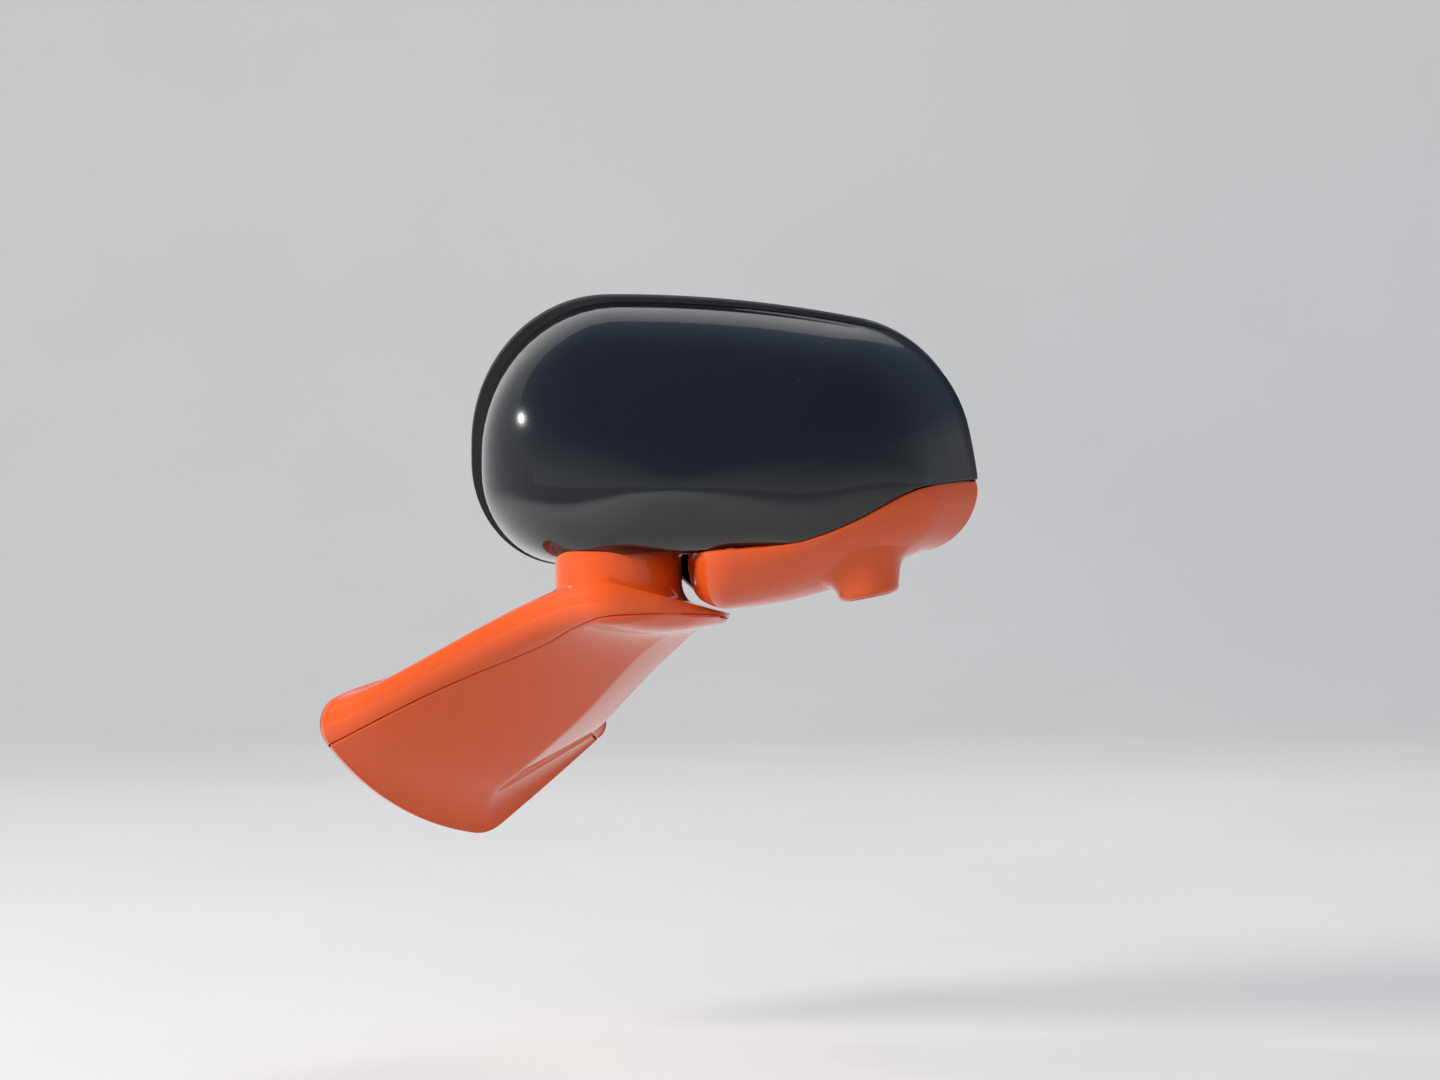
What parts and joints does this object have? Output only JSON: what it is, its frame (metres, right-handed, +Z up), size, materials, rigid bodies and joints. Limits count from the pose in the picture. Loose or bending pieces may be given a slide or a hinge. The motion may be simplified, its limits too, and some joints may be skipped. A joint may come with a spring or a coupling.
{
  "type": "car door mirror",
  "caption": "Left exterior door mirror: folding head with black cap and painted lower cover on a blade arm, with adjustable glass and a downward camera.",
  "frame": {"origin": "on the door skin, behind the middle of the arm's foot", "axes": "+X outboard, square to the foot's seat; +Y to the rear of the car; +Z up"},
  "size_m": [0.2134, 0.2039, 0.24],
  "materials": {
    "orange_paint": "gloss clear-coated paint",
    "gloss_black": "high gloss",
    "satin_black": "fine grain",
    "rubber": "matt",
    "cast_alloy": "die-cast, shot blasted",
    "steel": "turned",
    "frame_plastic": "moulded, glass filled",
    "mirror": "silvered glass",
    "lens_glass": "coated lens"
  },
  "bodies": {
    "arm": {"mount_bracket": "cast_alloy", "turret_collar": "cast_alloy", "arm_upper_cover": "orange_paint", "arm_lower_cover": "orange_paint", "foot_gasket": "rubber", "pivot_tube": "steel"},
    "head": {"front_cap": "gloss_black", "base_cover": "orange_paint", "camera_module": "satin_black", "camera_lens": "lens_glass", "rear_bezel": "satin_black", "head_frame": "frame_plastic", "fold_drive": "frame_plastic", "glass_actuator": "frame_plastic"},
    "gimbal": {"gimbal_ring": "frame_plastic"},
    "glass": {"glass_carrier": "frame_plastic", "mirror_glass": "mirror"}
  },
  "joints": [
    {"name": "head_fold", "type": "hinge", "parent": "arm", "child": "head", "pos_m": [0.098, 0.015, 0.12], "axis": [0, 0, 1], "range_deg": [0, 60]},
    {"name": "glass_pan", "type": "hinge", "parent": "head", "child": "gimbal", "pos_m": [0.11178, 0.05191, 0.14725], "axis": [0, 0, 1], "range_deg": [-7, 7]},
    {"name": "glass_tilt", "type": "hinge", "parent": "gimbal", "child": "glass", "pos_m": [0.11178, 0.05191, 0.14725], "axis": [0.848, 0.5299, 0], "range_deg": [-7, 7]}
  ]
}
